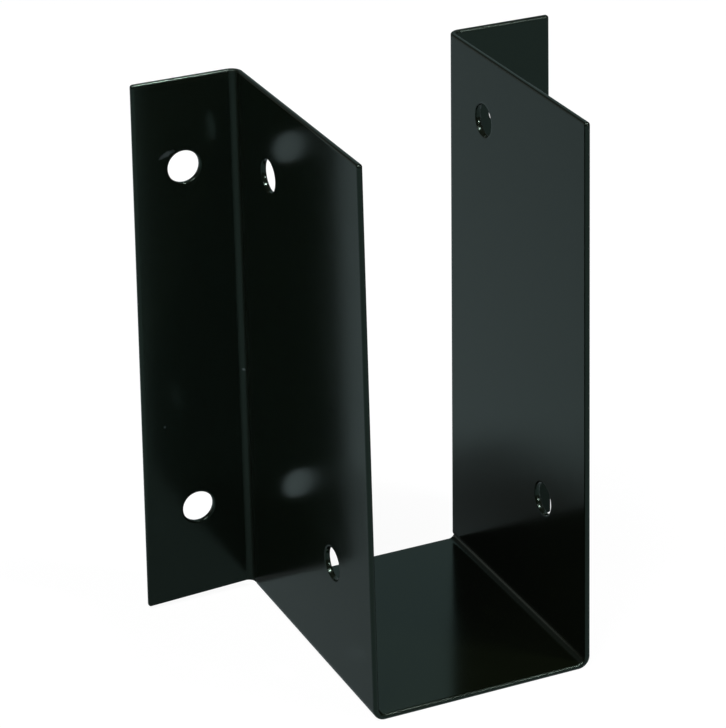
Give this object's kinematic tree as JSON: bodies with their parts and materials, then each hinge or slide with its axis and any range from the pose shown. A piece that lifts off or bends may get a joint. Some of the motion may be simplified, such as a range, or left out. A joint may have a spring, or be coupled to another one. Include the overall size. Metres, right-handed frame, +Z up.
{
  "type": "joist hanger",
  "caption": "Black coated sheet-steel joist hanger: a U-shaped pocket with a seat for the end of a joist and two outward flanges that screw to a header",
  "frame": {"origin": "Middle of the width and of the depth, on the underside of the seat", "axes": "X is the width, +Y points into the header that the flanges screw to, -Y is the side that the joist comes in from, +Z is up"},
  "size_m": [0.083, 0.0544, 0.1015],
  "materials": {
    "coated_steel": "semi-gloss black powder coating"
  },
  "bodies": {
    "root": {"hanger": "coated_steel"}
  },
  "joints": []
}
